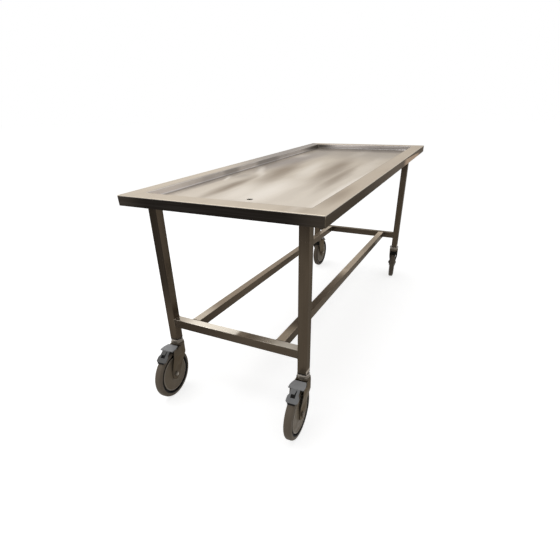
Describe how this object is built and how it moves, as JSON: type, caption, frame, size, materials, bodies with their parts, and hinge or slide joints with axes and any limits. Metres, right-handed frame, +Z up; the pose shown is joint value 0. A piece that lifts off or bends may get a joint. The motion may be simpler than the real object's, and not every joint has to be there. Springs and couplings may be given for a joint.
{
  "type": "autopsy trolley",
  "caption": "Mortuary trolley: a shallow stainless body tray falling to a drain, on a square-tube frame with braked swivel castors.",
  "frame": {"origin": "on the floor, under the middle of the tray", "axes": "+X along the trolley from the drain end to the head end, +Y to the left side, +Z up"},
  "size_m": [2.0852, 0.8, 0.9376],
  "materials": {
    "stainless_sheet": "satin, lengthwise grain",
    "stainless_tube": "satin, grain along the tube",
    "castor_metal": "satin grey",
    "bright_steel": "bright plated",
    "wheel_plastic": "satin grey",
    "grey_tyre": "matt grey",
    "pedal_plastic": "satin blue-grey",
    "black_rubber": "matt black",
    "dark_plastic": "matt black"
  },
  "bodies": {
    "trolley": {"tray_pan": "stainless_sheet", "drain_spigot": "stainless_sheet", "floor_ribs": "stainless_sheet", "leg_pads": "stainless_sheet", "leg_foot_left": "stainless_tube", "leg_foot_right": "stainless_tube", "leg_head_left": "stainless_tube", "leg_head_right": "stainless_tube", "leg_plugs": "dark_plastic", "crossbar_foot": "stainless_tube", "crossbar_head": "stainless_tube", "stretcher_left": "stainless_tube", "stretcher_right": "stainless_tube", "castor_stems": "bright_steel", "swivel_bearings": "bright_steel", "swivel_cap_foot_left": "castor_metal", "swivel_cap_foot_right": "castor_metal", "swivel_cap_head_left": "castor_metal", "swivel_cap_head_right": "castor_metal"},
    "swivel_foot_left": {"fork_foot_left": "castor_metal", "axle_foot_left": "bright_steel", "axle_nut_foot_left": "bright_steel", "pedal_pin_foot_left": "bright_steel"},
    "wheel_foot_left": {"wheel_centre_foot_left": "wheel_plastic", "tyre_foot_left": "grey_tyre", "wheel_bearings_foot_left": "bright_steel"},
    "brake_foot_left": {"pedal_foot_left": "pedal_plastic", "brake_shoe_foot_left": "black_rubber"},
    "swivel_foot_right": {"fork_foot_right": "castor_metal", "axle_foot_right": "bright_steel", "axle_nut_foot_right": "bright_steel", "pedal_pin_foot_right": "bright_steel"},
    "wheel_foot_right": {"wheel_centre_foot_right": "wheel_plastic", "tyre_foot_right": "grey_tyre", "wheel_bearings_foot_right": "bright_steel"},
    "brake_foot_right": {"pedal_foot_right": "pedal_plastic", "brake_shoe_foot_right": "black_rubber"},
    "swivel_head_left": {"fork_head_left": "castor_metal", "axle_head_left": "bright_steel", "axle_nut_head_left": "bright_steel", "pedal_pin_head_left": "bright_steel"},
    "wheel_head_left": {"wheel_centre_head_left": "wheel_plastic", "tyre_head_left": "grey_tyre", "wheel_bearings_head_left": "bright_steel"},
    "brake_head_left": {"pedal_head_left": "pedal_plastic", "brake_shoe_head_left": "black_rubber"},
    "swivel_head_right": {"fork_head_right": "castor_metal", "axle_head_right": "bright_steel", "axle_nut_head_right": "bright_steel", "pedal_pin_head_right": "bright_steel"},
    "wheel_head_right": {"wheel_centre_head_right": "wheel_plastic", "tyre_head_right": "grey_tyre", "wheel_bearings_head_right": "bright_steel"},
    "brake_head_right": {"pedal_head_right": "pedal_plastic", "brake_shoe_head_right": "black_rubber"}
  },
  "joints": [
    {"name": "castor_turn_foot_left", "type": "hinge", "parent": "trolley", "child": "swivel_foot_left", "pos_m": [-0.866, 0.308, 0.2359], "axis": [0, 0, 1], "continuous": true},
    {"name": "wheel_spin_foot_left", "type": "hinge", "parent": "swivel_foot_left", "child": "wheel_foot_left", "pos_m": [-0.93472, 0.30175, 0.1075], "axis": [0.0906, -0.9959, 0], "continuous": true},
    {"name": "brake_lift_foot_left", "type": "hinge", "parent": "swivel_foot_left", "child": "brake_foot_left", "pos_m": [-0.90384, 0.30456, 0.2205], "axis": [-0.0906, 0.9959, 0], "range_deg": [0, 18]},
    {"name": "castor_turn_foot_right", "type": "hinge", "parent": "trolley", "child": "swivel_foot_right", "pos_m": [-0.866, -0.308, 0.2359], "axis": [0, 0, 1], "continuous": true},
    {"name": "wheel_spin_foot_right", "type": "hinge", "parent": "swivel_foot_right", "child": "wheel_foot_right", "pos_m": [-0.93492, -0.31137, 0.1075], "axis": [0.0489, -0.9988, 0], "continuous": true},
    {"name": "brake_lift_foot_right", "type": "hinge", "parent": "swivel_foot_right", "child": "brake_foot_right", "pos_m": [-0.90395, -0.30986, 0.2205], "axis": [-0.0489, 0.9988, 0], "range_deg": [0, 18]},
    {"name": "castor_turn_head_left", "type": "hinge", "parent": "trolley", "child": "swivel_head_left", "pos_m": [0.866, 0.308, 0.2359], "axis": [0, 0, 1], "continuous": true},
    {"name": "wheel_spin_head_left", "type": "hinge", "parent": "swivel_head_left", "child": "wheel_head_left", "pos_m": [0.93496, 0.30571, 0.1075], "axis": [0.0332, 0.9995, 0], "continuous": true},
    {"name": "brake_lift_head_left", "type": "hinge", "parent": "swivel_head_left", "child": "brake_head_left", "pos_m": [0.90398, 0.30674, 0.2205], "axis": [-0.0332, -0.9995, 0], "range_deg": [0, 18]},
    {"name": "castor_turn_head_right", "type": "hinge", "parent": "trolley", "child": "swivel_head_right", "pos_m": [0.866, -0.308, 0.2359], "axis": [0, 0, 1], "continuous": true},
    {"name": "wheel_spin_head_right", "type": "hinge", "parent": "swivel_head_right", "child": "wheel_head_right", "pos_m": [0.93385, -0.29543, 0.1075], "axis": [-0.1822, 0.9833, 0], "continuous": true},
    {"name": "brake_lift_head_right", "type": "hinge", "parent": "swivel_head_right", "child": "brake_head_right", "pos_m": [0.90336, -0.30107, 0.2205], "axis": [0.1822, -0.9833, 0], "range_deg": [0, 18]}
  ]
}
